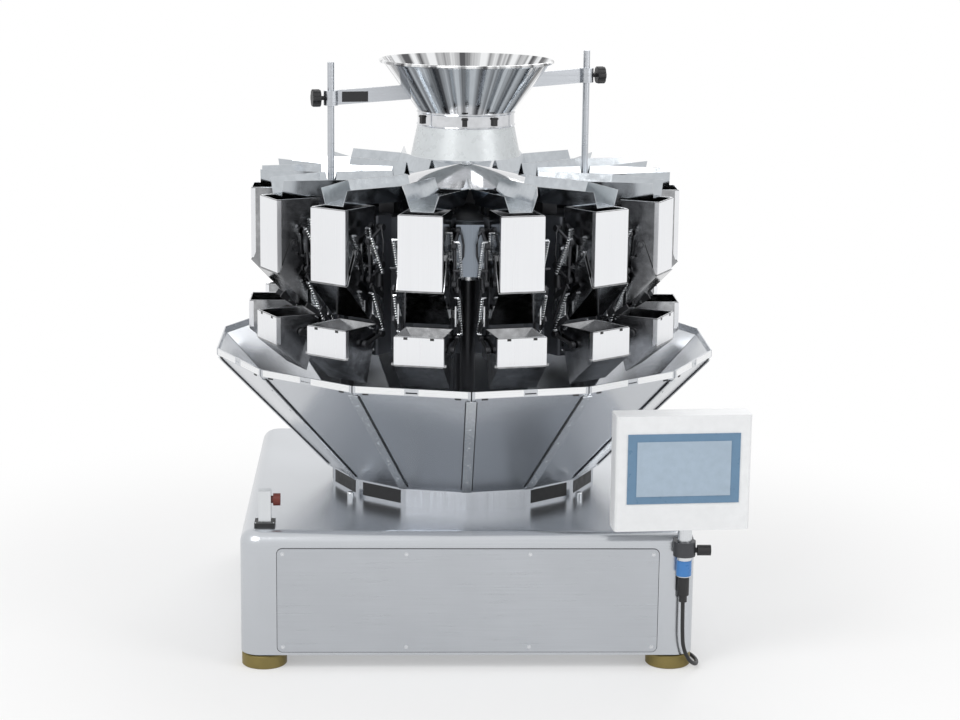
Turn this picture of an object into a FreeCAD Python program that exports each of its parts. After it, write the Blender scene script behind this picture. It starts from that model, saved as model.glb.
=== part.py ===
import FreeCAD, Part
import math
import os

V = FreeCAD.Vector

# ---------------------------------------------------------------- heads
HEADS = 14
STEP = 360.0 / HEADS
HALF = math.radians(STEP / 2)

# ---------------------------------------------------------------- base
BASE_W = 1024.0
BASE_BOTTOM = 35.0
BASE_TOP = 320.0
BASE_CORNER_R = 45.0
BASE_EDGE_R = 30.0
COVER_W, COVER_H, COVER_T, COVER_R = 856.0, 241.0, 2.0, 12.0
COVER_Z0 = 43.0
SIDE_COVER_W = 760.0
PAD_R, PAD_H, PAD_EDGE = 51.0, 31.0, 2.5
FOOT_AT = BASE_W / 2 - PAD_R - 1
NUT_R = 18.0

# ---------------------------------------------------------------- chute
RIM_R = 600.0
RIM_Z = 647.0
LIP_H = 16.0
CHUTE_T = 3.0
CHUTE_LOW_R = 330.0
CHUTE_LOW_Z = 365.0
SEAM_GAP = 3.0
STRIP_W, STRIP_T, STRIP_TOP_GAP = 22.0, 3.0, 9.0
LIP_BREAK_W = 26.0
LIP_BREAK_Z0, LIP_BREAK_Z1 = 5.0, 8.0
COLLAR_R, COLLAR_T, LEDGE_T = CHUTE_LOW_R - 8, 4.0, 3.0
LATCH_R, LATCH_H, LATCH_OUT = 8.0, 16.0, 14.0
LATCH_SEAMS = (2, 5, 9, 12)

# ---------------------------------------------------------------- discharge
FUNNEL_TOP_R, FUNNEL_TOP_Z = CHUTE_LOW_R - 14, CHUTE_LOW_Z + 11
OUTLET_R, OUTLET_T = 100.0, 3.0
WAIST_R = CHUTE_LOW_R - 72
BASE_HOLE_R = WAIST_R + 6
OUTLET_BEND_Z, OUTLET_END_Z = 130.0, 22.0
SEAT_R, SEAT_T = CHUTE_LOW_R - 30, 4.0

# ---------------------------------------------------------------- columns and body
COLUMN_SEAMS = (0, 4, 7, 10)
COLUMN_AT, COLUMN_R = CHUTE_LOW_R - 40, 17.0
HOLE_PLAY = 2.0
DRUM_APOTHEM = 338.0
DRUM_Z0, DRUM_STEP_Z, DRUM_Z1 = 675.0, 880.0, 1000.0
DRUM_LOW_R = 240.0
FLANGE_R, FLANGE_T = 41.0, 18.0
FLANGE_Z0 = DRUM_STEP_Z - FLANGE_T
HEAD_TOP_Z, HEAD_W_TOP, HEAD_W_LOW, HEAD_OUT = 998.0, 62.0, 70.0, 392.0
DRIVE_W, DRIVE_OUT, DRIVE_Z0, DRIVE_Z1, DRIVE_EDGE_R = 90.0, 388.0, 688.0, 1008.0, 8.0
HANGER_T, HANGER_X = 5.0, 32.0
FEED_HOOK_Z0, FEED_HOOK_Z1 = 953.0, 998.0
WEIGH_HOOK_Z0, WEIGH_HOOK_Z1 = 710.0, 745.0

# ---------------------------------------------------------------- feed hoppers
SHEET = 1.5
FEED_W = 98.0
FEED_PROFILE = ((-506.0, 1033.0), (-506.0, 864.0), (-425.0, 780.0), (-402.0, 1033.0))
PIVOT_Y, PIVOT_Z = -465.0, 933.0
PIN_R, PIN_PLAY, PIN_LEN = 4.0, 0.05, 8.0
BOSS_R, BOSS_T = 9.0, 2.0
GATE_T, GATE_GAP = 2.0, 0.6
ARM_GAP, ARM_T, ARM_R = 3.0, 2.0, 10.0

# ---------------------------------------------------------------- weigh hoppers
WEIGH_W = 110.5
WEIGH_PROFILE = ((-512.0, 764.0), (-512.0, 698.0), (-437.0, 635.0), (-402.0, 764.0))
FLANGE_LIP_W, FLANGE_LIP_H = 7.0, 6.0

# ---------------------------------------------------------------- feeders
PAN_Z0, PAN_Z1 = 1037.0, 1074.0
PAN_SLOPE = 12.0
PAN_MEET_R, PAN_IN_R, PAN_OUT_R = 345.0, 150.0, 485.0
PAN_OUT_HALF = 38.0
PAN_PLAY = 1.0
CONE_R, CONE_Z, CONE_H, CONE_T = 172.0, 1047.0, 42.0, 3.0
CONE_CLEAR = 6.0
VIB_W, VIB_R0, VIB_R1 = 44.0, 215.0, 300.0
CONE_VIB_R = 62.0

# ---------------------------------------------------------------- infeed
POST_R, POST_NOTCH = 8.0, 5.0
IN_TOP_R, IN_TOP_Z, IN_LOW_R, IN_LOW_Z = 203.0, 1334.0, 115.0, 1214.0
IN_T = 2.0
RIM_WIRE_R = 4.0
COLLAR_Z0 = 1179.0
SKIRT_R, SKIRT_Z0 = 130.0, 1108.0
# One row for each side: seam, distance of the post from the axis, top of the post, height of the
# clamp's middle, rise of the arm from the clamp to the funnel.
SUPPORTS = ((4, 297.0, 1352.0, 1293.0, -12.0), (11, 326.0, 1330.0, 1247.0, 12.0))
ARM_H, ARM_PLATE_T, ARM_IN_R = 34.0, 6.0, 130.0
CLAMP_R, CLAMP_PLAY = 17.0, 0.08
KNOB_R, KNOB_L, KNOB_STEM_R, KNOB_STEM_L, KNOB_LOBES = 21.0, 20.0, 5.0, 8.0, 6

# ---------------------------------------------------------------- screen
SCREEN_X, SCREEN_Y = BASE_W / 2 - 30, -BASE_W / 2 - 21
SCREEN_YAW, SCREEN_OFF = 5.0, -14.0
SCREEN_W, SCREEN_H, SCREEN_D = 304.0, 261.0, 64.0
SCREEN_Z0 = 343.0
SCREEN_EDGE_R = 8.0
BEZEL_W, BEZEL_H, BEZEL_T = 252.0, 158.0, 2.0
BEZEL_UP = 22.0
GLASS_W, GLASS_H, GLASS_T = 211.0, 124.0, 1.2
TUBE_R, TUBE_Z0, TUBE_PLAY = 16.0, 228.0, 0.08
BRACKET_Z0, BRACKET_Z1, BRACKET_R, BRACKET_ARM_W = 276.0, 310.0, 25.0, 44.0
BRACKET_KNOB_R, BRACKET_KNOB_L, BRACKET_KNOB_Z = 12.0, 30.0, 288.0
GLAND_R, GLAND_Z0, GLAND_NECK_R, GLAND_NECK_L = 13.0, 168.0, 9.0, 16.0

# ---------------------------------------------------------------- stop switch
SWITCH_X, SWITCH_Y = -458.0, -438.0
SWITCH_W, SWITCH_H, SWITCH_BASE_W, SWITCH_BASE_H = 28.0, 80.0, 46.0, 8.0
BUTTON_R, BUTTON_L, BUTTON_Z, BUTTON_NECK_L = 14.0, 16.0, 58.0, 5.0

# ---------------------------------------------------------------- cord
CORD_R = 4.5
CORD_GAP = 0.3
INLET_X, INLET_Y, INLET_Z, INLET_R = FOOT_AT - 41, 84.0 - FOOT_AT, 19.0, 10.0
INLET_LEN, INLET_BLOCK = 14.0, 28.0
# Down in front of the right front foot, round its outer side, and back in under the base.
CORD_POINTS = (
    (SCREEN_X, SCREEN_Y, GLAND_Z0 - CORD_GAP), (SCREEN_X + 0.3, SCREEN_Y - 1, 134.0),
    (SCREEN_X + 0.9, SCREEN_Y - 2.2, 97.0), (SCREEN_X + 3, SCREEN_Y - 3.4, 60.0),
    (FOOT_AT + 41.2, -68.6 - FOOT_AT, 26.0), (FOOT_AT + 60.5, -40.8 - FOOT_AT, 8.0),
    (FOOT_AT + 66.9, -3.5 - FOOT_AT, 6.0), (FOOT_AT + 59.2, 31.5 - FOOT_AT, 6.5),
    (FOOT_AT + 40.8, 60.5 - FOOT_AT, 9.0), (FOOT_AT + 16.6, 78.3 - FOOT_AT, 14.0),
    (FOOT_AT - 12, INLET_Y, INLET_Z), (INLET_X, INLET_Y, INLET_Z),
)

# Horizontal offset that puts the middle of the whole outline over the origin.
RIM_SIDE = RIM_R * math.cos(HALF)
YAW = math.radians(SCREEN_YAW)
SCREEN_RIGHT = (SCREEN_X + (SCREEN_OFF + SCREEN_W / 2 - SCREEN_EDGE_R) * math.cos(YAW)
                + (SCREEN_D / 2 - SCREEN_EDGE_R) * math.sin(YAW) + SCREEN_EDGE_R)
SHIFT = V(-(SCREEN_RIGHT - RIM_SIDE) / 2, 0, 0)


def box(x0, x1, y0, y1, z0, z1):
    """Axis-aligned block between two corners."""
    return Part.makeBox(x1 - x0, y1 - y0, z1 - z0, V(x0, y0, z0))


def cyl(r, z0, z1, x=0.0, y=0.0):
    """Upright cylinder."""
    return Part.makeCylinder(r, z1 - z0, V(x, y, z0))


def turned(shape, angle):
    """Copy turned about the machine's axis."""
    out = shape.copy()
    out.rotate(V(0, 0, 0), V(0, 0, 1), angle)
    return out


def head_angle(i):
    """Direction of head i, counted from the first one right of the front."""
    return (i + 0.5) * STEP


def around(shape, angles):
    """One copy at each angle, as a list."""
    return [turned(shape, a) for a in angles]


def all_heads(shape):
    """One copy at each head."""
    return around(shape, [head_angle(i) for i in range(HEADS)])


def seam_point(k, r):
    """Point at radius r in the direction of seam k."""
    a = math.radians(k * STEP)
    return r * math.sin(a), -r * math.cos(a)


def polygon_wire(r, z):
    """Regular polygon with a corner at each seam."""
    pts = [V(*seam_point(k, r), z) for k in range(HEADS)]
    return Part.makePolygon(pts + [pts[0]])


def prism(r0, z0, r1, z1):
    """Solid between two such polygons."""
    return Part.makeLoft([polygon_wire(r0, z0), polygon_wire(r1, z1)], True, True)


def profile_x(points, half):
    """Side profile in Y and Z, carried to both sides of the middle plane."""
    pts = [V(-half, y, z) for y, z in points]
    return Part.Face(Part.makePolygon(pts + [pts[0]])).extrude(V(2 * half, 0, 0))


def revolve(points):
    """Ring or shell of revolution from a profile of radius and height."""
    pts = [V(r, 0, z) for r, z in points]
    return Part.Face(Part.makePolygon(pts + [pts[0]])).revolve(V(0, 0, 0), V(0, 0, 1), 360)


def rounded_plate(w, h, t, r):
    """Upright plate with round corners, centred, front face on y = -t."""
    plate = box(-w / 2, w / 2, -t, 0, -h / 2, h / 2)
    edges = [e for e in plate.Edges if abs(e.Vertexes[0].Y - e.Vertexes[1].Y) > t / 2]
    return plate.makeFillet(r, edges)


def largest(shape):
    """Biggest solid of a shape that a cut may have split."""
    return max(shape.Solids, key=lambda s: s.Volume)


def moved(shape, x=0.0, y=0.0, z=0.0):
    """Copy moved by a vector."""
    out = shape.copy()
    out.translate(V(x, y, z))
    return out


# ---------------------------------------------------------------- base
def base_housing():
    """Low square housing with rounded corners and top edge, open down the middle."""
    h = BASE_W / 2
    body = box(-h, h, -h, h, BASE_BOTTOM, BASE_TOP)
    upright = [e for e in body.Edges if abs(e.Vertexes[0].Z - e.Vertexes[1].Z) > 1]
    body = body.makeFillet(BASE_CORNER_R, upright)
    top = [e for e in body.Edges if e.BoundBox.ZMin > BASE_TOP - 0.01]
    body = body.makeFillet(BASE_EDGE_R, top)
    return [body.cut(cyl(BASE_HOLE_R, 0, BASE_TOP + 10))]


def base_cover(angle, width):
    """Screwed cover plate on one face of the base."""
    plate = rounded_plate(width, COVER_H, COVER_T, COVER_R)
    return turned(moved(plate, y=-BASE_W / 2, z=COVER_Z0 + COVER_H / 2), angle)


def corners(at):
    """Four corner positions."""
    return [(sx * at, sy * at) for sx in (-1, 1) for sy in (-1, 1)]


def foot_pads():
    """Drum-shaped levelling pads with turned edges."""
    pad = revolve(((0, 0), (PAD_R - PAD_EDGE, 0), (PAD_R, PAD_EDGE), (PAD_R, PAD_H - PAD_EDGE),
                   (PAD_R - PAD_EDGE, PAD_H), (0, PAD_H)))
    return [moved(pad, x, y) for x, y in corners(FOOT_AT)]


def foot_studs():
    """Lock nuts of the levelling studs, between pad and base."""
    nut_pts = [V(NUT_R * math.cos(math.radians(60 * k)), NUT_R * math.sin(math.radians(60 * k)), PAD_H)
               for k in range(7)]
    nut = Part.Face(Part.makePolygon(nut_pts)).extrude(V(0, 0, BASE_BOTTOM - PAD_H))
    return [moved(nut, x, y) for x, y in corners(FOOT_AT)]


# ---------------------------------------------------------------- chute
def seam_slots(width, r_out, z0, z1):
    """Thin radial blocks, one at each seam."""
    slot = box(-width / 2, width / 2, -r_out, -CHUTE_LOW_R / 2, z0, z1)
    return around(slot, [k * STEP for k in range(HEADS)])


def column_holes():
    """Clearance round each support column."""
    r = COLUMN_R + HOLE_PLAY
    return [cyl(r, OUTLET_BEND_Z, FLANGE_Z0, *seam_point(k, COLUMN_AT)) for k in COLUMN_SEAMS]


def chute_panels():
    """Faceted chute: one sloping panel with its upright lip between each pair of seams."""
    low, top = CHUTE_LOW_Z, RIM_Z
    skin = prism(CHUTE_LOW_R, low, RIM_R, top).fuse(prism(RIM_R, top, RIM_R, top + LIP_H))
    hollow = prism(CHUTE_LOW_R - CHUTE_T * 1.5, low, RIM_R - CHUTE_T * 1.5, top)
    hollow = hollow.fuse(prism(RIM_R - CHUTE_T, top - 0.01, RIM_R - CHUTE_T, top + LIP_H + 1))
    hollow = hollow.fuse(prism(CHUTE_LOW_R - CHUTE_T * 1.5, low - 5, CHUTE_LOW_R - CHUTE_T * 1.5, low + 0.01))
    shell = skin.cut(hollow)
    breaks = all_heads(box(-LIP_BREAK_W / 2, LIP_BREAK_W / 2, -RIM_R, -RIM_R * 0.9,
                           top + LIP_BREAK_Z0, top + LIP_BREAK_Z1))
    cuts = seam_slots(SEAM_GAP, RIM_R + 10, low - 10, top + LIP_H + 10) + breaks
    return shell.cut(Part.makeCompound(cuts)).Solids


def chute_seam_strips():
    """Cover strip along the outside of each seam, from under the lip to the lower edge."""
    slope = math.atan2(RIM_Z - CHUTE_LOW_Z, RIM_R - CHUTE_LOW_R)
    length = math.hypot(RIM_Z - CHUTE_LOW_Z, RIM_R - CHUTE_LOW_R)
    strip = box(-STRIP_W / 2, STRIP_W / 2, -length + STRIP_TOP_GAP, -4, -STRIP_T, 0)
    strip.rotate(V(0, 0, 0), V(1, 0, 0), -math.degrees(slope))
    strip = moved(strip, y=-CHUTE_LOW_R, z=CHUTE_LOW_Z)
    solid_chute = prism(CHUTE_LOW_R, CHUTE_LOW_Z, RIM_R, RIM_Z)
    out = []
    for k in range(HEADS):
        out += turned(strip, k * STEP).cut(solid_chute).Solids
    return out


def chute_collar():
    """Upright faceted ring that carries the chute on the base."""
    ring = prism(COLLAR_R, BASE_TOP, COLLAR_R, CHUTE_LOW_Z)
    ring = ring.cut(prism(COLLAR_R - COLLAR_T, BASE_TOP - 1, COLLAR_R - COLLAR_T, CHUTE_LOW_Z + 1))
    ledge = prism(CHUTE_LOW_R, CHUTE_LOW_Z - LEDGE_T, CHUTE_LOW_R, CHUTE_LOW_Z)
    inner = prism(COLLAR_R - COLLAR_T, CHUTE_LOW_Z - LEDGE_T - 1, COLLAR_R - COLLAR_T, CHUTE_LOW_Z + 1)
    return [ring.fuse(ledge.cut(inner)).removeSplitter()]


def chute_latch_knobs():
    """Round knobs that hold the chute to its collar."""
    out = []
    for k in LATCH_SEAMS:
        x, y = seam_point(k, CHUTE_LOW_R + LATCH_OUT)
        knob = cyl(LATCH_R, BASE_TOP, BASE_TOP + LATCH_H, x, y)
        out.append(knob.makeFillet(3, [knob.Edges[0]]))
    return out


def discharge_funnel():
    """Round funnel from the chute's lower edge to the outlet under the base, with holes for the columns."""
    wall = OUTLET_T * 1.4
    outer = ((OUTLET_R, OUTLET_END_Z), (OUTLET_R, OUTLET_BEND_Z), (WAIST_R, BASE_TOP), (SEAT_R, BASE_TOP),
             (SEAT_R, BASE_TOP + SEAT_T), (WAIST_R + SEAT_T, BASE_TOP + SEAT_T), (FUNNEL_TOP_R, FUNNEL_TOP_Z))
    inner = ((FUNNEL_TOP_R - wall, FUNNEL_TOP_Z), (WAIST_R - wall, BASE_TOP),
             (OUTLET_R - OUTLET_T, OUTLET_BEND_Z - 1), (OUTLET_R - OUTLET_T, OUTLET_END_Z))
    shell = revolve(outer + inner)
    return [shell.cut(Part.makeCompound(column_holes()))]


# ---------------------------------------------------------------- columns and body
def support_columns():
    """Round columns from the base to the column heads."""
    return [cyl(COLUMN_R, BASE_TOP, FLANGE_Z0, *seam_point(k, COLUMN_AT)) for k in COLUMN_SEAMS]


def column_flanges():
    """Round flange on top of each column."""
    return [cyl(FLANGE_R, FLANGE_Z0, FLANGE_Z0 + FLANGE_T, *seam_point(k, COLUMN_AT)) for k in COLUMN_SEAMS]


def column_heads():
    """Tapered boxes that tie the body to the columns."""
    z0, top = DRUM_STEP_Z, HEAD_TOP_Z
    pts = [V(-HEAD_W_LOW / 2, -HEAD_OUT, z0), V(HEAD_W_LOW / 2, -HEAD_OUT, z0),
           V(HEAD_W_TOP / 2, -HEAD_OUT, top), V(-HEAD_W_TOP / 2, -HEAD_OUT, top)]
    head = Part.Face(Part.makePolygon(pts + [pts[0]])).extrude(V(0, HEAD_OUT - DRUM_APOTHEM + 20, 0))
    drum = prism(drum_r(), DRUM_Z0, drum_r(), DRUM_Z1)
    units = Part.makeCompound(drive_units())
    heads = around(head, [k * STEP for k in COLUMN_SEAMS])
    return [largest(h.cut(drum).cut(units)) for h in heads]


def drum_r():
    """Corner radius of the faceted body."""
    return DRUM_APOTHEM / math.cos(HALF)


def main_body():
    """Faceted central body: a wide upper part that carries the heads, on a narrower one."""
    low_r = DRUM_LOW_R / math.cos(HALF)
    return [prism(drum_r(), DRUM_STEP_Z, drum_r(), DRUM_Z1).fuse(prism(low_r, DRUM_Z0, low_r, DRUM_STEP_Z))]


def drive_units():
    """Upright drive box on each facet of the body."""
    unit = box(-DRIVE_W / 2, DRIVE_W / 2, -DRIVE_OUT, -DRUM_APOTHEM, DRIVE_Z0, DRIVE_Z1)
    upright = [e for e in unit.Edges if abs(e.Vertexes[0].Z - e.Vertexes[1].Z) > 1]
    outer = [e for e in upright if e.BoundBox.YMax < -DRUM_APOTHEM - 1]
    return all_heads(unit.makeFillet(DRIVE_EDGE_R, outer))


def wall_y(profile, z):
    """Y of the inner wall of a hopper at height z."""
    (y2, z2), (y3, z3) = profile[2], profile[3]
    return y2 + (y3 - y2) * (z - z2) / (z3 - z2)


def hanger(profile, z0, z1):
    """Two hooks that carry one hopper on its drive box."""
    pair = []
    for side in (-1, 1):
        x = side * HANGER_X
        pts = [V(x - HANGER_T / 2, -DRIVE_OUT, z0), V(x - HANGER_T / 2, -DRIVE_OUT, z1),
               V(x - HANGER_T / 2, wall_y(profile, z1), z1), V(x - HANGER_T / 2, wall_y(profile, z0), z0)]
        pair.append(Part.Face(Part.makePolygon(pts + [pts[0]])).extrude(V(HANGER_T, 0, 0)))
    return Part.makeCompound(pair)


def hopper_hangers():
    """Hooks of the upper and lower hoppers."""
    out = []
    for profile, z0, z1 in ((FEED_PROFILE, FEED_HOOK_Z0, FEED_HOOK_Z1),
                            (WEIGH_PROFILE, WEIGH_HOOK_Z0, WEIGH_HOOK_Z1)):
        for pair in all_heads(hanger(profile, z0, z1)):
            out += pair.Solids
    return out


# ---------------------------------------------------------------- hoppers
def hopper_shell(profile, width):
    """Sheet hopper, open above and at its sloping bottom."""
    (y0, z0), (y1, z1) = profile[0], profile[1]
    low, high = profile[2][1] - 25, z0 + 5
    inner = ((y0 + SHEET, high), (y1 + SHEET, low), (wall_y(profile, low) - SHEET, low),
             (wall_y(profile, high) - SHEET, high))
    return profile_x(profile, width / 2).cut(profile_x(inner, width / 2 - SHEET))


def along_x(r, x0, x1, y, z):
    """Cylinder across a head."""
    return Part.makeCylinder(r, x1 - x0, V(x0, y, z), V(1, 0, 0))


def feed_hopper():
    """Upper hopper with a pin and its boss on each side wall."""
    body = hopper_shell(FEED_PROFILE, FEED_W)
    for side in (-1, 1):
        w = side * FEED_W / 2
        for r, length in ((BOSS_R, BOSS_T), (PIN_R, PIN_LEN)):
            x0, x1 = sorted((w, w + side * length))
            body = body.fuse(along_x(r, x0, x1, PIVOT_Y, PIVOT_Z))
    return body


def offset_line(profile, gap):
    """Bottom edge of a hopper moved outward by gap."""
    (y1, z1), (y2, z2) = profile[1], profile[2]
    length = math.hypot(y2 - y1, z2 - z1)
    ny, nz = (z2 - z1) / length * gap, -(y2 - y1) / length * gap
    return (y1 + ny, z1 + nz), (y2 + ny, z2 + nz)


def feed_gate():
    """Swinging gate: a plate under the sloping bottom, carried by an arm on each side wall."""
    half = FEED_W / 2 + ARM_GAP + ARM_T
    (ya, za), (yb, zb) = offset_line(FEED_PROFILE, GATE_GAP)
    (yc, zc), (yd, zd) = offset_line(FEED_PROFILE, GATE_GAP + GATE_T)
    gate = profile_x(((ya, za), (yc, zc), (yd, zd), (yb, zb)), half)
    for side in (-1, 1):
        x0 = FEED_W / 2 + ARM_GAP if side > 0 else -half
        pts = [V(x0, PIVOT_Y - ARM_R, PIVOT_Z), V(x0, yc + 6, zc + 3), V(x0, yc, zc), V(x0, yd, zd),
               V(x0, yd + 2, zd + 12), V(x0, PIVOT_Y + ARM_R, PIVOT_Z)]
        arm = Part.Face(Part.makePolygon(pts + [pts[0]])).extrude(V(ARM_T, 0, 0))
        gate = gate.fuse(arm).fuse(along_x(ARM_R, x0, x0 + ARM_T, PIVOT_Y, PIVOT_Z))
    bore = along_x(PIN_R + PIN_PLAY, -half - 1, half + 1, PIVOT_Y, PIVOT_Z)
    return gate.cut(bore).removeSplitter()


def weigh_hopper():
    """Lower hopper with a small flange out to each side at the foot of its outer panel."""
    body = hopper_shell(WEIGH_PROFILE, WEIGH_W)
    y, z = WEIGH_PROFILE[1]
    for side in (-1, 1):
        w = side * WEIGH_W / 2
        x0, x1 = sorted((w, w + side * FLANGE_LIP_W))
        body = body.fuse(box(x0, x1, y, y + SHEET, z, z + FLANGE_LIP_H))
    return body


def weigh_gate():
    """Closed bottom gate of a lower hopper, seated on its edges."""
    a, b = offset_line(WEIGH_PROFILE, 0.0)
    c, d = offset_line(WEIGH_PROFILE, GATE_T)
    return profile_x((a, c, d, b), WEIGH_W / 2)


# ---------------------------------------------------------------- feeders
def pan_section(r, half, z0, z1, end):
    """Cross-section of a feeder pan at radius r, open to both ends."""
    y = -r - end
    return Part.makePolygon([V(-half, y, z1), V(half, y, z1), V(half - PAN_SLOPE, y, z0),
                             V(-half + PAN_SLOPE, y, z0), V(-half, y, z1)])


def pan_block(skin, z0, z1, end):
    """Pan-shaped block that widens to where the pans meet and narrows again to its outlet."""
    stations = ((PAN_IN_R, PAN_IN_R * math.tan(HALF) - PAN_PLAY, -end),
                (PAN_MEET_R, PAN_MEET_R * math.tan(HALF) - PAN_PLAY, 0.0),
                (PAN_OUT_R, PAN_OUT_HALF, end))
    wires = [pan_section(r, half - skin, z0, z1, e) for r, half, e in stations]
    spans = [Part.makeLoft(wires[i:i + 2], True, True) for i in range(2)]
    return spans[0].fuse(spans[1])


def feeder_pans():
    """Vibrating feeder pans: trapezoid troughs side by side round the dispersion cone."""
    pan = pan_block(0.0, PAN_Z0, PAN_Z1, 0.0).cut(pan_block(SHEET, PAN_Z0 + SHEET, PAN_Z1 + 0.01, 1.0))
    pan = pan.cut(cyl(CONE_R + CONE_CLEAR, PAN_Z0 + CONE_CLEAR, PAN_Z1 + 5))
    r = POST_R + POST_NOTCH
    notch = Part.makeCompound([cyl(r, PAN_Z0 - 5, PAN_Z1 + 5, *seam_point(*row[:2])) for row in SUPPORTS])
    return [largest(p.cut(notch)) for p in all_heads(pan)]


def dispersion_cone():
    """Shallow cone that spreads the product out to the pans."""
    return [revolve(((0, CONE_Z + CONE_H), (CONE_R, CONE_Z + CONE_T), (CONE_R, CONE_Z), (CONE_VIB_R, CONE_Z),
                     (0, CONE_Z)))]


def feeder_vibrators():
    """Vibrator block under each pan."""
    return all_heads(box(-VIB_W / 2, VIB_W / 2, -VIB_R1, -VIB_R0, DRUM_Z1, PAN_Z0))


def funnel_posts():
    """Posts on the body that carry the infeed funnel."""
    return [cyl(POST_R, DRUM_Z1, top, *seam_point(k, at)) for k, at, top, _, _ in SUPPORTS]


# ---------------------------------------------------------------- infeed
def infeed_funnel():
    """Conical infeed funnel with a rolled rim."""
    cone = revolve(((IN_TOP_R, IN_TOP_Z), (IN_TOP_R - IN_T, IN_TOP_Z), (IN_LOW_R - IN_T, IN_LOW_Z),
                    (IN_LOW_R, IN_LOW_Z)))
    bead = Part.makeTorus(IN_TOP_R, RIM_WIRE_R, V(0, 0, IN_TOP_Z - RIM_WIRE_R))
    return [cone.fuse(bead)]


def ring_between(r0, z0, r1, z1, t):
    """Thin round band, straight or flared."""
    return revolve(((r0, z0), (r1, z1), (r1 - t, z1), (r0 - t, z0)))


def infeed_collar():
    """Band below the funnel."""
    return [ring_between(IN_LOW_R, COLLAR_Z0, IN_LOW_R, IN_LOW_Z, IN_T)]


def infeed_skirt():
    """Flared skirt below the collar."""
    return [ring_between(SKIRT_R, SKIRT_Z0, IN_LOW_R, COLLAR_Z0, IN_T)]


def funnel_cone_solid():
    """The funnel filled in, to trim what meets it."""
    return revolve(((0, IN_LOW_Z), (IN_LOW_R, IN_LOW_Z), (IN_TOP_R, IN_TOP_Z), (0, IN_TOP_Z)))


def funnel_arms():
    """Upright flat arms from the funnel to a split clamp on each post."""
    out = []
    h = ARM_H / 2
    for k, at, _, z, rise in SUPPORTS:
        arm = profile_x(((-at, z - h), (-at, z + h), (-ARM_IN_R, z + rise + h), (-ARM_IN_R, z + rise - h)),
                        ARM_PLATE_T / 2)
        arm = arm.fuse(cyl(CLAMP_R, z - h, z + h, 0, -at))
        arm = arm.cut(cyl(POST_R + CLAMP_PLAY, z - h - 1, z + h + 1, 0, -at))
        out.append(largest(turned(arm, k * STEP).cut(funnel_cone_solid())))
    return out


def lobed_grip(y, z):
    """Round grip with finger hollows, its face at y, pointing away from the axis."""
    grip = Part.makeCylinder(KNOB_R, KNOB_L, V(0, y, z), V(0, -1, 0))
    grip = grip.makeFillet(3, [e for e in grip.Edges if e.BoundBox.YMax - e.BoundBox.YMin < 0.1])
    hollows = []
    for i in range(KNOB_LOBES):
        a = 2 * math.pi * (i + 0.5) / KNOB_LOBES
        centre = V(1.25 * KNOB_R * math.cos(a), y + 1, z + 1.25 * KNOB_R * math.sin(a))
        hollows.append(Part.makeCylinder(KNOB_R * 0.45, KNOB_L + 2, centre, V(0, -1, 0)))
    return grip.cut(Part.makeCompound(hollows))


def clamp_knobs():
    """Lobed hand knob on each clamp, pointing away from the funnel."""
    out = []
    for k, at, _, z, _ in SUPPORTS:
        y = -at - CLAMP_R
        stem = Part.makeCylinder(KNOB_STEM_R, KNOB_STEM_L + 2, V(0, y + 2, z), V(0, -1, 0))
        knob = stem.fuse(lobed_grip(y - KNOB_STEM_L, z))
        out.append(turned(knob.cut(cyl(CLAMP_R, z - ARM_H, z + ARM_H, 0, -at)), k * STEP))
    return out


# ---------------------------------------------------------------- screen
def on_screen(shape):
    """Turn a piece made facing the front into the screen's direction."""
    out = moved(shape, SCREEN_X, SCREEN_Y)
    out.rotate(V(SCREEN_X, SCREEN_Y, 0), V(0, 0, 1), SCREEN_YAW)
    return out


def screen_housing():
    """Box of the touch screen."""
    body = box(SCREEN_OFF - SCREEN_W / 2, SCREEN_OFF + SCREEN_W / 2, -SCREEN_D / 2, SCREEN_D / 2,
               SCREEN_Z0, SCREEN_Z0 + SCREEN_H)
    upright = [e for e in body.Edges if abs(e.Vertexes[0].Z - e.Vertexes[1].Z) > 1]
    return [on_screen(body.makeFillet(SCREEN_EDGE_R, upright))]


def screen_plate(w, h, t, out_by):
    """Plate on the front of the housing."""
    z = SCREEN_Z0 + SCREEN_H / 2 + BEZEL_UP / 2
    y = -SCREEN_D / 2 - out_by
    return [on_screen(box(SCREEN_OFF - w / 2, SCREEN_OFF + w / 2, y - t, y, z - h / 2, z + h / 2))]


def screen_pivot_tube():
    """Upright tube that the screen turns on."""
    return [cyl(TUBE_R, TUBE_Z0, SCREEN_Z0, SCREEN_X, SCREEN_Y)]


def cable_gland():
    """Gland at the foot of the pivot tube."""
    neck_top = GLAND_Z0 + GLAND_NECK_L
    body = cyl(GLAND_R, neck_top, TUBE_Z0, SCREEN_X, SCREEN_Y)
    return [body.fuse(cyl(GLAND_NECK_R, GLAND_Z0, neck_top, SCREEN_X, SCREEN_Y))]


def screen_bracket():
    """Bracket on the base's corner, bored for the pivot tube."""
    half = BRACKET_ARM_W / 2
    arm = box(SCREEN_X - half, SCREEN_X + half, SCREEN_Y, -BASE_W / 2 + BASE_CORNER_R, BRACKET_Z0, BRACKET_Z1)
    arm = arm.fuse(cyl(BRACKET_R, BRACKET_Z0, BRACKET_Z1, SCREEN_X, SCREEN_Y))
    arm = arm.cut(cyl(TUBE_R + TUBE_PLAY, BRACKET_Z0 - 1, BRACKET_Z1 + 1, SCREEN_X, SCREEN_Y))
    return [largest(arm.cut(base_housing()[0]))]


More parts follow.
